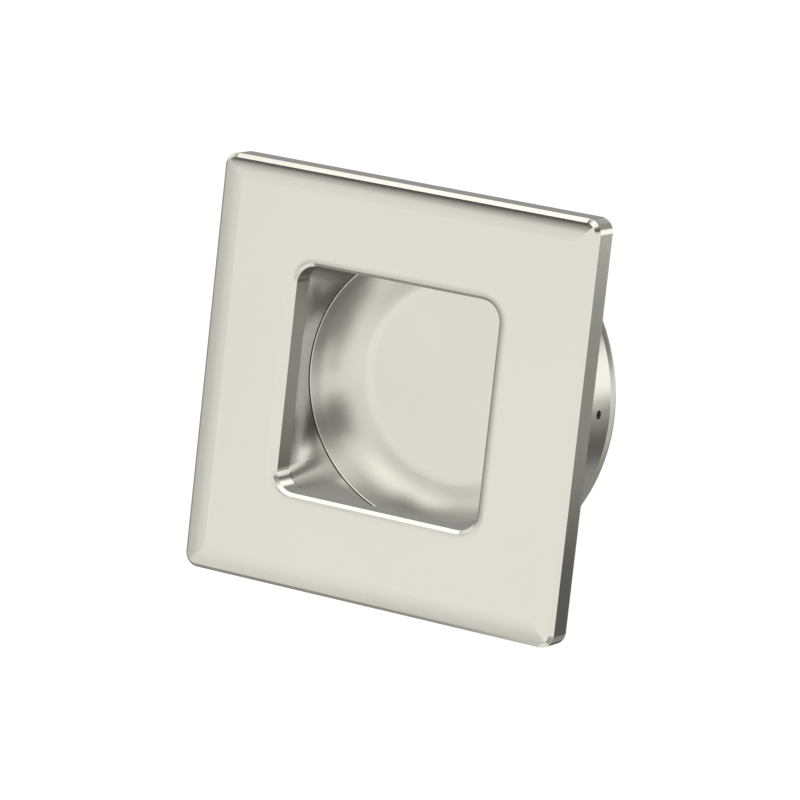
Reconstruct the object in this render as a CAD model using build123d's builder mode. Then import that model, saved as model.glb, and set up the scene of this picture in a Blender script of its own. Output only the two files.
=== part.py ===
from build123d import *
from math import atan2, cos, degrees, radians, sin, sqrt
import os

# Recessed pull handle for a sliding door, in millimetres.
#
# A square face plate carries a round sleeve on its back. The throat inside it
# runs from a rounded square opening to a circle. A turned cup closes the sleeve
# from behind and makes the round pocket, and a small pin locks it there.
#
# The plate stands upright and faces -Y, and +Z is up. The origin is the centre of
# the plate's rear face, on the sleeve's axis, so the sleeve runs along +Y from it.

# Face plate. The chamfers are cut in the flat plate, before the crown.
plate_width = 60.0
plate_thickness = 4.4
plate_corner_radius = 2.0
plate_chamfer = 0.78

# Square opening, with its straight wall
opening_width = 32.6
opening_corner_radius = 3.0
opening_chamfer = 0.52
opening_depth = 3.75         # from the plate's face to the throat

# Crown: near the plate's sides and the opening, the face falls away in shallow arcs.
# Slopes are in degrees, and the last one is what the arc would have at the edge.
crown_first_slope = 1.0
side_crown_width = 3.4       # from the plate's side
side_crown_slope = 9.5
opening_crown_width = 1.7    # from the opening's wall
opening_crown_slope = 7.0

# Throat, from the square opening to the circle at the seam
throat_flare = 3.35          # circle's radius less half the opening's width
throat_step = 0.15           # the throat's end lies this far outside the pocket's wall

# Sleeve
sleeve_length = 13.5
sleeve_wall = 3.55
sleeve_bore_depth = 5.7      # from the sleeve's rear end to its inner ledge

# Cup
cup_wall = 3.0
cup_clearance = 0.05         # all round, between the tube and the sleeve's bore
seam_gap = 0.35              # between the sleeve's ledge and the cup's lip
lip_chamfer = 0.12
flange_overhang = 0.3        # beyond the sleeve
flange_cone = 0.6            # length of the cone that leads out from the sleeve to the rim
flange_rim = 0.4             # straight part of the flange's edge
floor_reach = 2.8            # from the sleeve's rear end to the pocket's floor
floor_thickness = 2.5
floor_fillet = 5.8

# Locking pin, in a radial hole on the sleeve's right side
pin_radius = 0.62
pin_clearance = 0.02
pin_chamfer = 0.15
pin_setback = 2.25           # from the sleeve's inner ledge to the pin's axis
pin_angle = 2.0              # degrees above level
pin_recess = 1.0             # the pin's outer end lies this far below the surface
pin_stop = 1.2               # metal left between the hole's blind end and the pocket
pin_end_gap = 0.1

# Radii and places that follow, the places measured along +Y from the rear face
opening_side = opening_width / 2
throat_end_radius = opening_side + throat_flare
pocket_radius = throat_end_radius - throat_step
tube_radius = pocket_radius + cup_wall
bore_radius = tube_radius + cup_clearance
sleeve_radius = bore_radius + sleeve_wall
flange_radius = sleeve_radius + flange_overhang
flange_thickness = flange_cone + flange_rim

# Cone round the cup's back, as far from the floor's fillet as the floor is thick
cone_distance = floor_fillet + floor_thickness
back_chamfer = cup_wall + floor_thickness + 2 * floor_fillet - sqrt(2) * cone_distance

face_y = -plate_thickness
throat_y = face_y + opening_depth
seam_y = sleeve_length - sleeve_bore_depth
lip_y = seam_y + seam_gap
floor_y = sleeve_length + floor_reach
back_y = floor_y + floor_thickness
pin_y = seam_y + pin_setback

hole_radius = pin_radius + pin_clearance
hole_end = pocket_radius + pin_stop
pin_direction = (cos(radians(pin_angle)), 0, sin(radians(pin_angle)))
pin_plane = Plane(origin=(0, pin_y, 0), x_dir=(0, 1, 0), z_dir=pin_direction)


def across(y):
    """Plane square to the sleeve's axis, at y behind the plate's rear face."""
    return Plane.XZ.offset(-y)


def crown_profile(edge_point, towards_edge, width, slope):
    """What the crown takes off the flat face, as a section square to the edge.

    The section's x runs over the face to the edge, at x = 0, and its y runs backwards.
    The arc starts width before the edge, and runs on to twice the slope it has there.
    """
    backwards = Vector(0, 1, 0)
    plane = Plane(origin=edge_point, x_dir=towards_edge, z_dir=towards_edge.cross(backwards))
    radius = width / (sin(radians(slope)) - sin(radians(crown_first_slope)))
    centre = (-radius * sin(radians(slope)), radius * cos(radians(crown_first_slope)))
    with BuildSketch(plane) as profile:
        with BuildLine():
            arc = CenterArc(centre, radius, crown_first_slope - 90, 2 * slope - crown_first_slope)
            first, last = arc @ 0, arc @ 1
            Polyline(last, (last.X, -width), (first.X, -width), first)
        make_face()
    return profile.sketch


# Sections of the crown at the plate's right side, and at the start of the opening's rim
plate_side = Vector(plate_width / 2, face_y, 0)
side_crown = crown_profile(plate_side, Vector(1, 0, 0), side_crown_width, side_crown_slope)

with BuildLine(across(face_y)) as opening_rim:
    FilletPolyline(
        (opening_side, -opening_side),
        (opening_side, opening_side),
        (-opening_side, opening_side),
        (-opening_side, -opening_side),
        radius=opening_corner_radius,
        close=True,
    )
rim = opening_rim.wire()
inward = (rim % 0).cross(Vector(0, 1, 0))
opening_crown = crown_profile(rim @ 0, inward, opening_crown_width, opening_crown_slope)

# Face plate, with the sleeve in one piece
with BuildPart() as face_plate:
    with BuildSketch(across(0)):
        RectangleRounded(plate_width, plate_width, plate_corner_radius)
    extrude(amount=plate_thickness)
    chamfer(face_plate.faces().sort_by(Axis.Y)[0].edges(), plate_chamfer)

    with BuildSketch(across(0)):
        Circle(sleeve_radius)
    extrude(amount=-sleeve_length)

    # Straight wall of the opening, then its front chamfer
    with BuildSketch(across(face_y)):
        RectangleRounded(opening_width, opening_width, opening_corner_radius)
    extrude(amount=-opening_depth, mode=Mode.SUBTRACT)
    front_face = face_plate.faces().sort_by(Axis.Y)[0]
    chamfer(front_face.inner_wires()[0].edges(), opening_chamfer)

    # Crown, along the plate's four sides and then round the opening
    for quarter in range(4):
        extrude(side_crown.rotate(Axis.Y, 90 * quarter), plate_width, both=True, mode=Mode.SUBTRACT)
    sweep(opening_crown, rim, mode=Mode.SUBTRACT)

    # Throat: each side and each corner of the square meets its own arc of the circle
    side_end = opening_side - opening_corner_radius
    side_half_angle = degrees(atan2(side_end, opening_side))
    corner_angle = 90 - 2 * side_half_angle
    with BuildSketch(across(throat_y)):
        RectangleRounded(opening_width, opening_width, opening_corner_radius)
    with BuildSketch(across(seam_y)):
        with BuildLine():
            for quarter in range(4):
                middle = 90 * quarter
                CenterArc((0, 0), throat_end_radius, middle - side_half_angle, 2 * side_half_angle)
                CenterArc((0, 0), throat_end_radius, middle + side_half_angle, corner_angle)
        make_face()
    loft(mode=Mode.SUBTRACT)

    # Bore that takes the cup, up to the ledge at the seam
    with BuildSketch(across(seam_y)):
        Circle(bore_radius)
    extrude(amount=-sleeve_bore_depth, mode=Mode.SUBTRACT)

    # Radial hole for the pin, open to the outside
    with BuildSketch(pin_plane.offset(hole_end)):
        Circle(hole_radius)
    extrude(amount=flange_radius - hole_end, mode=Mode.SUBTRACT)
face_plate.part.label = "face_plate"

# Cup: tube in the sleeve, flange against the sleeve's end, and round-cornered floor
with BuildPart() as cup:
    with BuildSketch(across(lip_y)):
        Circle(tube_radius)
    extrude(amount=lip_y - back_y)
    chamfer(cup.faces().sort_by(Axis.Y)[-1].edges(), back_chamfer)

    with BuildSketch(across(lip_y)):
        Circle(tube_radius)
    extrude(amount=lip_y - sleeve_length)

    with BuildSketch(across(sleeve_length)):
        Circle(flange_radius)
    extrude(amount=-flange_thickness)
    rim_edges = cup.edges().filter_by(GeomType.CIRCLE).group_by(SortBy.RADIUS)[-1]
    flange_front = cup.faces().filter_by(Axis.Y).sort_by(Axis.Y)[1]
    chamfer(rim_edges.sort_by(Axis.Y)[0], flange_overhang, flange_cone, reference=flange_front)

    with BuildSketch(across(lip_y)):
        Circle(pocket_radius)
    extrude(amount=lip_y - floor_y, mode=Mode.SUBTRACT)
    pocket_edges = cup.edges().filter_by(GeomType.CIRCLE).filter_by(
        lambda edge: abs(edge.radius - pocket_radius) < lip_chamfer / 10
    )
    fillet(pocket_edges.sort_by(Axis.Y)[-1], floor_fillet)
    lip_edge = cup.faces().sort_by(Axis.Y)[0].inner_wires()[0].edges()
    chamfer(lip_edge, lip_chamfer)

    # Blind hole in the tube's wall, in line with the sleeve's
    with BuildSketch(pin_plane.offset(hole_end)):
        Circle(hole_radius)
    extrude(amount=flange_radius - hole_end, mode=Mode.SUBTRACT)
cup.part.label = "cup"

# Locking pin, sunk below the sleeve's surface
pin_start = hole_end + pin_end_gap
pin_end = sleeve_radius - pin_recess
with BuildPart() as locking_pin:
    with BuildSketch(pin_plane.offset(pin_start)):
        Circle(pin_radius)
    extrude(amount=pin_end - pin_start)
    chamfer(locking_pin.edges().filter_by(GeomType.CIRCLE), pin_chamfer)
locking_pin.part.label = "locking_pin"

os.makedirs("parts", exist_ok=True)
export_step(face_plate.part, "parts/face_plate.step")
export_step(cup.part, "parts/cup.step")
export_step(locking_pin.part, "parts/locking_pin.step")
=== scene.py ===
import math

import bmesh
import bpy
from mathutils import Matrix, Vector


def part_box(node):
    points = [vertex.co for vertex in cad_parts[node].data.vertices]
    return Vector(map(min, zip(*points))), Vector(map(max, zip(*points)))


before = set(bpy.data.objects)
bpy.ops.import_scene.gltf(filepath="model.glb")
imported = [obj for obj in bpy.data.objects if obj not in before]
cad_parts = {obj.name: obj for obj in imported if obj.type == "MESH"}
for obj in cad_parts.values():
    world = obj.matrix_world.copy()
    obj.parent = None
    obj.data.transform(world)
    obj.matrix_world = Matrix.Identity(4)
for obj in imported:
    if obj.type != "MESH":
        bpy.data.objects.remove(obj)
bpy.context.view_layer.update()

# Recessed pull handle: finish, light, floor and camera. Metres, in the frame of the
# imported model: the plate faces -Y, +Z is up, and the sleeve runs along +Y. Azimuths and
# elevations are in degrees, as direction() takes them.

MM = 0.001

# Places on the solids
FACE_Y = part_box("face_plate")[0].y
LIP_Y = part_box("cup")[0].y
OPENING_HALF = 16.3 * MM
OPENING_CORNER = 3.0 * MM
OPENING_CHAMFER = 0.45 * MM    # as wide as it shows, outside the opening's wall
THROAT_Y = -0.65 * MM
THROAT_RADIUS = 22.0 * MM      # between the throat's surface and the sleeve's
PIN_Y = 10.05 * MM
PIN_RISE = math.tan(math.radians(2.0))
HOLE_RADIUS = 0.65 * MM
HOLE_START = 20.0 * MM         # between the pocket's wall and the hole's blind end

# Finish
NICKEL = (0.70, 0.683, 0.603)
DARK_STEEL = (0.05, 0.048, 0.045)
FACE_ROUGHNESS = 0.15
SLEEVE_ROUGHNESS = 0.22
THROAT_ROUGHNESS = 0.28
WALL_ROUGHNESS = 0.37
FLOOR_ROUGHNESS = 0.2
FLOOR_FACING = 0.95            # the floor's roughness starts where this much faces -Y
PIN_ROUGHNESS = 0.4
TURNED = 0.8                   # anisotropy of the cup's turned marks
MARKS_ROTATION = 0.25          # makes the marks run round the axis
CLOUD_SCALE = 60.0
CLOUD_TONE = 0.015             # the cloud's share of the tone, lighter and darker
GRAIN_SCALE = 4000.0
GRAIN_ROUGHNESS = 0.015        # the grain's change of roughness, up and down
GRAIN_BUMP = 0.03
GRAIN_HEIGHT = 0.01 * MM
GAP_SHADE = 0.04               # what is left of the metal's colour under the painted shade in the seam and the pin's hole
SEAM_MARGIN = 0.005 * MM       # keeps the lip's own edge out of the painted shade in the seam
RIM_WIDTH = 1.6 * MM           # face that rounds off before the opening
RIM_FADE = 0.25                # share of the rim over which the rounding fades out
RIM_SAMPLES = 8

# Studio
WHITE = (1, 1, 1, 1)
FLOOR_HEIGHT = -0.45
FLOOR_SIZE = 12.0
FLOOR_COLOUR = (0.8, 0.8, 0.8, 1)
FLOOR_GLOW = (0.3, 0.5)        # added light below the object, and away from it
GLOW_REACH = (0.2, 0.7)        # distances between which the one goes over into the other
ROOM_FILL = 0.7
NEAR, FAR = 0.15, 0.5          # how far the cards hang from the object's middle
CARD_STEP = 0.001              # a later card hangs this much nearer
CARD_FACET = 6                 # degrees along one facet of a curved card

# Name, distance, azimuths, elevations, tone and softness of each card. A later card
# covers an earlier one at its distance.
CARDS = (
    ("left", FAR, (-152, -30), (-60, 5), 0.6, 0.4),
    ("far_left", FAR, (-157, -80), (-89, 15), 0.33, 0.4),
    ("front_low", FAR, (-55, 34), (-80, -14), 0.62, 0.7),
    ("right_foot", FAR, (44, 215), (-89, -14), 0.22, 0.4),
    ("right_low", FAR, (74, 105), (-35, -2), 0.3, 0.3),
    ("right_high", FAR, (38, 155), (9, 43), 0.15, 0.4),
    ("behind_left", FAR, (-232, -116), (-18, 89), 0.36, 0.4),
    ("behind_high", FAR, (-191, -12), (41, 89), 0.03, 0.4),
    ("right_wall", FAR, (126, 187), (-36, -3), 0.32, 0.3),
    ("sleeve_dark", FAR, (130, 187), (-23, -11), 0.12, 0.5),
    ("overhead", FAR, (-98, 66), (44, 74), 1.7, 0.4),
    ("sleeve_glow", FAR, (134, 166), (-5, 15), 1.35, 0.4),
    ("front_strip", NEAR, (-55, 5), (14, 26), 0.0, 0.25),
    ("wall_dark", NEAR, (153, 190), (-7, 14), 0.0, 0.3),
    ("wall_glow", NEAR, (157, 184), (17, 38), 1.5, 0.4),
    ("wall_foot", NEAR, (187, 260), (-20, 55), 0.35, 0.4),
    ("wall_low", NEAR, (161, 220), (-74, -8), 0.1, 0.3),
)

# Camera: the photograph's viewing angle, aimed at the plate's face
CAMERA_AZIMUTH = 28.76
CAMERA_ELEVATION = 10.48
CAMERA_ROLL = 6.29
CAMERA_DISTANCE = 0.6764
CAMERA_LENS = 219.2
CAMERA_SENSOR = 36.0
CAMERA_CLIP = (0.01, 20.0)
CAMERA_TARGET = Vector((2.42 * MM, FACE_Y, 0.16 * MM))

scene = bpy.context.scene


def direction(azimuth, elevation):
    """Unit vector towards a place round the object. Azimuth 0 is in front of the plate
    and 90 is on its right; elevation is above level."""
    a, e = math.radians(azimuth), math.radians(elevation)
    return Vector((math.sin(a) * math.cos(e), -math.cos(a) * math.cos(e), math.sin(e)))


def aim(obj, towards, roll=0.0):
    """Turns obj so that its +Z axis points along the vector towards, rolled about it."""
    back = towards.normalized()
    right = Vector((0, 0, 1)).cross(back).normalized()
    up = back.cross(right)
    turn = math.radians(roll)
    x_axis = right * math.cos(turn) + up * math.sin(turn)
    y_axis = back.cross(x_axis)
    obj.rotation_euler = Matrix((x_axis, y_axis, back)).transposed().to_euler()


def add_object(name, data):
    obj = bpy.data.objects.new(name, data)
    scene.collection.objects.link(obj)
    return obj


# Node helpers

def new_material(name):
    """A material with an empty node tree, its tree and its output node."""
    material = bpy.data.materials.new(name)
    material.use_nodes = True
    tree = material.node_tree
    tree.nodes.clear()
    return material, tree, tree.nodes.new("ShaderNodeOutputMaterial")


def node(tree, kind, inputs=(), **settings):
    """A node of that kind. inputs maps the name or number of a socket to its value, or
    to the socket that feeds it."""
    made = tree.nodes.new(kind)
    for name, value in settings.items():
        setattr(made, name, value)
    for key, value in dict(inputs).items():
        if isinstance(value, bpy.types.NodeSocket):
            tree.links.new(value, made.inputs[key])
        else:
            made.inputs[key].default_value = value
    return made


def math_node(tree, operation, first, second=0.0):
    made = node(tree, "ShaderNodeMath", {0: first, 1: second}, operation=operation)
    return made.outputs["Value"]


def separate(tree, vector):
    """The sockets X, Y and Z of a vector."""
    return node(tree, "ShaderNodeSeparateXYZ", {"Vector": vector}).outputs


def length_of(tree, first, second):
    """Length of the vector that has those two parts."""
    squares = [math_node(tree, "MULTIPLY", part, part) for part in (first, second)]
    return math_node(tree, "SQRT", math_node(tree, "ADD", *squares))


def ramp(tree, value, low, high, at_low, at_high, interpolation="SMOOTHSTEP"):
    """Goes from at_low, where value is low, to at_high, where it is high."""
    made = node(tree, "ShaderNodeMapRange", {
        "Value": value, "From Min": low, "From Max": high,
        "To Min": at_low, "To Max": at_high}, interpolation_type=interpolation)
    return made.outputs["Result"]


def mix(tree, share, first, second, data_type="FLOAT"):
    made = node(tree, "ShaderNodeMix", data_type=data_type)
    sockets = [s for s in made.inputs if s.enabled]
    for socket, value in zip(sockets, (share, first, second)):
        if isinstance(value, bpy.types.NodeSocket):
            tree.links.new(value, socket)
        else:
            socket.default_value = value
    return next(s for s in made.outputs if s.enabled)


def seen_directly(tree):
    """1 for rays from the camera, from gloss and from glass, and 0 for the rest."""
    path = tree.nodes.new("ShaderNodeLightPath").outputs
    shown = math_node(tree, "MAXIMUM", path["Is Camera Ray"], path["Is Glossy Ray"])
    return math_node(tree, "MAXIMUM", shown, path["Is Transmission Ray"])


# Metal

def satin_metal(name, colour, turned=0.0):
    """Satin metal with a fine grain in its bump and roughness, and a faint cloud of tone.
    turned is the anisotropy of fine marks that run round the sleeve's axis. Returns the
    material, its tree, the object's coordinates, and the sockets for the painted shade that
    darkens a part's tone, for its roughness and for the normal under the grain."""
    material, tree, output = new_material(name)
    place = tree.nodes.new("ShaderNodeTexCoord").outputs["Object"]

    cloud = node(tree, "ShaderNodeTexNoise", {
        "Vector": place, "Scale": CLOUD_SCALE, "Detail": 4.0}).outputs["Fac"]
    tone = ramp(tree, cloud, 0.0, 1.0, 1 - CLOUD_TONE, 1 + CLOUD_TONE, "LINEAR")
    shade = node(tree, "ShaderNodeMath", {0: tone, 1: 1.0}, operation="MULTIPLY")
    tint = node(tree, "ShaderNodeVectorMath", {
        0: colour, "Scale": shade.outputs["Value"]}, operation="SCALE")

    grain = node(tree, "ShaderNodeTexNoise", {
        "Vector": place, "Scale": GRAIN_SCALE, "Detail": 3.0}).outputs["Fac"]
    change = ramp(tree, grain, 0.0, 1.0, -GRAIN_ROUGHNESS, GRAIN_ROUGHNESS, "LINEAR")
    rough = node(tree, "ShaderNodeMath", {0: change}, operation="ADD")
    bump = node(tree, "ShaderNodeBump", {
        "Height": grain, "Strength": GRAIN_BUMP, "Distance": GRAIN_HEIGHT})

    shader = node(tree, "ShaderNodeBsdfPrincipled", {
        "Metallic": 1.0,
        "Base Color": tint.outputs["Vector"],
        "Roughness": rough.outputs["Value"],
        "Normal": bump.outputs["Normal"],
    })
    if turned:
        marks = node(tree, "ShaderNodeTangent", direction_type="RADIAL", axis="Y")
        tree.links.new(marks.outputs["Tangent"], shader.inputs["Tangent"])
        shader.inputs["Anisotropic"].default_value = turned
        shader.inputs["Anisotropic Rotation"].default_value = MARKS_ROTATION
    tree.links.new(shader.outputs["BSDF"], output.inputs["Surface"])
    return material, tree, separate(tree, place), {
        "shade": shade.inputs[1], "roughness": rough.inputs[1], "normal": bump.inputs["Normal"]}


def pin_hole_shade(tree, axes):
    """Dark inside the pin's hole, where hardly any light gets in."""
    off_y = math_node(tree, "SUBTRACT", axes["Y"], PIN_Y)
    pin_z = math_node(tree, "MULTIPLY", axes["X"], PIN_RISE)
    off_z = math_node(tree, "SUBTRACT", axes["Z"], pin_z)
    in_hole = math_node(tree, "LESS_THAN", length_of(tree, off_y, off_z), HOLE_RADIUS)
    outside_pocket = math_node(tree, "GREATER_THAN", axes["X"], HOLE_START)
    dark = math_node(tree, "MULTIPLY", in_hole, outside_pocket)
    return ramp(tree, dark, 0.0, 1.0, 1.0, GAP_SHADE)


def rim_share(tree, axes):
    """1 on the face beside the opening's chamfer, which goes over into 0 further out."""
    beyond = []
    for axis in ("X", "Z"):
        side = math_node(tree, "ABSOLUTE", axes[axis])
        past_corner = math_node(tree, "SUBTRACT", side, OPENING_HALF - OPENING_CORNER)
        beyond.append(math_node(tree, "MAXIMUM", past_corner, 0.0))
    from_corner = length_of(tree, *beyond)
    chamfer_end = OPENING_CORNER + OPENING_CHAMFER
    rim_end = OPENING_CORNER + RIM_WIDTH
    fade_start = rim_end - RIM_FADE * (rim_end - chamfer_end)
    outside = math_node(tree, "GREATER_THAN", from_corner, chamfer_end)
    in_front = math_node(tree, "LESS_THAN", axes["Y"], FACE_Y + OPENING_CHAMFER)
    near_opening = ramp(tree, from_corner, fade_start, rim_end, 1.0, 0.0)
    return math_node(tree, "MULTIPLY", math_node(tree, "MULTIPLY", outside, in_front), near_opening)


def plate_metal():
    """Smooth on the face and softer in the throat and on the sleeve. Near the opening the
    face's shading goes on rounding where the crown ends."""
    material, tree, axes, feed = satin_metal("plate_nickel", NICKEL)
    in_throat = math_node(tree, "LESS_THAN", length_of(tree, axes["X"], axes["Z"]), THROAT_RADIUS)
    behind = mix(tree, in_throat, SLEEVE_ROUGHNESS, THROAT_ROUGHNESS)
    is_behind = ramp(tree, axes["Y"], THROAT_Y, 0.0, 0.0, 1.0)
    tree.links.new(mix(tree, is_behind, FACE_ROUGHNESS, behind), feed["roughness"])
    tree.links.new(pin_hole_shade(tree, axes), feed["shade"])

    rounded = node(tree, "ShaderNodeBevel", {"Radius": RIM_WIDTH}, samples=RIM_SAMPLES)
    plain = tree.nodes.new("ShaderNodeNewGeometry").outputs["Normal"]
    normal = mix(tree, rim_share(tree, axes), plain, rounded.outputs["Normal"], "VECTOR")
    tree.links.new(normal, feed["normal"])
    return material


def cup_metal():
    """Turned: smooth on the pocket's floor, softer on its wall, with painted shade that darkens its
    colour in the seam.
    """
    material, tree, axes, feed = satin_metal("cup_nickel", NICKEL, TURNED)
    normal = separate(tree, tree.nodes.new("ShaderNodeTexCoord").outputs["Normal"])
    facing = math_node(tree, "ABSOLUTE", normal["Y"])
    rough = ramp(tree, facing, FLOOR_FACING, 1.0, WALL_ROUGHNESS, FLOOR_ROUGHNESS)
    tree.links.new(rough, feed["roughness"])
    # Painted shade: the metal's colour goes dark in the seam in front of the lip, where shade falls
    # in the gap
    behind_lip = math_node(tree, "GREATER_THAN", axes["Y"], LIP_Y + SEAM_MARGIN)
    seam = ramp(tree, behind_lip, 0.0, 1.0, GAP_SHADE, 1.0)
    tree.links.new(math_node(tree, "MULTIPLY", seam, pin_hole_shade(tree, axes)), feed["shade"])
    return material


def pin_metal():
    material, _, _, feed = satin_metal("pin_steel", DARK_STEEL)
    feed["roughness"].default_value = PIN_ROUGHNESS
    return material


metals = {"face_plate": plate_metal(), "cup": cup_metal(), "locking_pin": pin_metal()}
for name, metal in metals.items():
    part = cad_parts[name]
    part.material_slots[0].material = metal
    # The photograph's metal mirrors the studio and not itself
    part.visible_glossy = False


# Studio: white all round, a soft lamp overhead, and cards that only metal sees

def white_room():
    """World that shows and mirrors as plain white, and gives a softer fill light."""
    world = bpy.data.worlds.new("white_room")
    scene.world = world
    world.use_nodes = True
    world.cycles.sampling_method = "NONE"
    tree = world.node_tree
    tree.nodes.clear()
    level = ramp(tree, seen_directly(tree), 0.0, 1.0, ROOM_FILL, 1.0, "LINEAR")
    glow = node(tree, "ShaderNodeBackground", {"Color": WHITE, "Strength": level})
    output = tree.nodes.new("ShaderNodeOutputWorld")
    tree.links.new(glow.outputs["Background"], output.inputs["Surface"])


def pale_floor():
    """Wide pale floor, which keeps the object's shadow and goes over into white."""
    bpy.ops.mesh.primitive_plane_add(size=FLOOR_SIZE, location=(0, 0, FLOOR_HEIGHT))
    floor = bpy.context.object
    floor.name = "floor"
    material, tree, output = new_material("floor_white")
    place = tree.nodes.new("ShaderNodeTexCoord").outputs["Object"]
    distance = node(tree, "ShaderNodeVectorMath", {0: place}, operation="LENGTH").outputs["Value"]
    level = ramp(tree, distance, *GLOW_REACH, *FLOOR_GLOW, "LINEAR")
    shown = math_node(tree, "MULTIPLY", seen_directly(tree), level)
    cloth = node(tree, "ShaderNodeBsdfDiffuse", {"Color": FLOOR_COLOUR})
    glow = node(tree, "ShaderNodeEmission", {"Color": WHITE, "Strength": shown})
    both = node(tree, "ShaderNodeAddShader", {0: cloth.outputs["BSDF"], 1: glow.outputs["Emission"]})
    tree.links.new(both.outputs["Shader"], output.inputs["Surface"])
    material.cycles.emission_sampling = "NONE"
    floor.data.materials.append(material)


def card_mesh(name, azimuths, elevations, radius):
    """Patch of a sphere round the object's middle. Its UV map, spread, goes from -1 to 1
    between opposite edges."""
    mesh = bpy.data.meshes.new(name)
    grid = bmesh.new()
    spread = grid.loops.layers.uv.new("spread")
    columns, rows = (max(2, math.ceil((b - a) / CARD_FACET)) for a, b in (azimuths, elevations))
    points = {}
    for i in range(columns + 1):
        for j in range(rows + 1):
            azimuth = azimuths[0] + (azimuths[1] - azimuths[0]) * i / columns
            elevation = elevations[0] + (elevations[1] - elevations[0]) * j / rows
            points[i, j] = grid.verts.new(direction(azimuth, elevation) * radius)
    for i in range(columns):
        for j in range(rows):
            corners = [(i, j), (i + 1, j), (i + 1, j + 1), (i, j + 1)]
            face = grid.faces.new([points[corner] for corner in corners])
            for loop, (u, v) in zip(face.loops, corners):
                loop[spread].uv = (2 * u / columns - 1, 2 * v / rows - 1)
    grid.to_mesh(mesh)
    grid.free()
    return mesh


def card_material(name, tone, soft):
    """Glow of one tone that fades out at the card's edges. soft is the share that fades."""
    material, tree, output = new_material(name)
    axes = separate(tree, node(tree, "ShaderNodeUVMap", uv_map="spread").outputs["UV"])
    fades = []
    for axis in ("X", "Y"):
        off_centre = math_node(tree, "ABSOLUTE", axes[axis])
        fades.append(ramp(tree, off_centre, 1.0, 1.0 - soft, 0.0, 1.0, "SMOOTHERSTEP"))
    glow = node(tree, "ShaderNodeEmission", {"Color": WHITE, "Strength": tone})
    clear = tree.nodes.new("ShaderNodeBsdfTransparent")
    faded = node(tree, "ShaderNodeMixShader", {
        "Fac": math_node(tree, "MULTIPLY", *fades),
        1: clear.outputs["BSDF"],
        2: glow.outputs["Emission"],
    })
    tree.links.new(faded.outputs["Shader"], output.inputs["Surface"])
    material.cycles.emission_sampling = "NONE"
    return material


def card(name, radius, azimuths, elevations, tone, soft):
    """Curved card with soft edges, seen only in reflections."""
    mesh = card_mesh(name, azimuths, elevations, radius)
    mesh.materials.append(card_material(name, tone, soft))
    obj = add_object(name, mesh)
    obj.visible_camera = False
    obj.visible_diffuse = False
    obj.visible_shadow = False
    obj.visible_transmission = False


def soft_box(name, azimuth, elevation, size, power, distance):
    """Square area light aimed at the object. The cards stand for it in reflections."""
    light = bpy.data.lights.new(name, "AREA")
    light.shape = "SQUARE"
    light.size = size
    light.energy = power
    obj = add_object(name, light)
    towards = direction(azimuth, elevation)
    obj.location = towards * distance
    obj.visible_glossy = False
    aim(obj, towards)


white_room()
pale_floor()
soft_box("overhead_lamp", azimuth=-60, elevation=62, size=0.3, power=4.0, distance=0.9)
for i, (name, distance, azimuths, elevations, tone, soft) in enumerate(CARDS):
    card(name, distance - i * CARD_STEP, azimuths, elevations, tone, soft)

# Camera
camera_data = bpy.data.cameras.new("camera")
camera_data.sensor_width = CAMERA_SENSOR
camera_data.lens = CAMERA_LENS
camera_data.clip_start, camera_data.clip_end = CAMERA_CLIP
camera = add_object("camera", camera_data)
camera_side = direction(CAMERA_AZIMUTH, CAMERA_ELEVATION)
camera.location = CAMERA_TARGET + camera_side * CAMERA_DISTANCE
aim(camera, camera_side, CAMERA_ROLL)
scene.camera = camera

scene.view_settings.view_transform = "Standard"
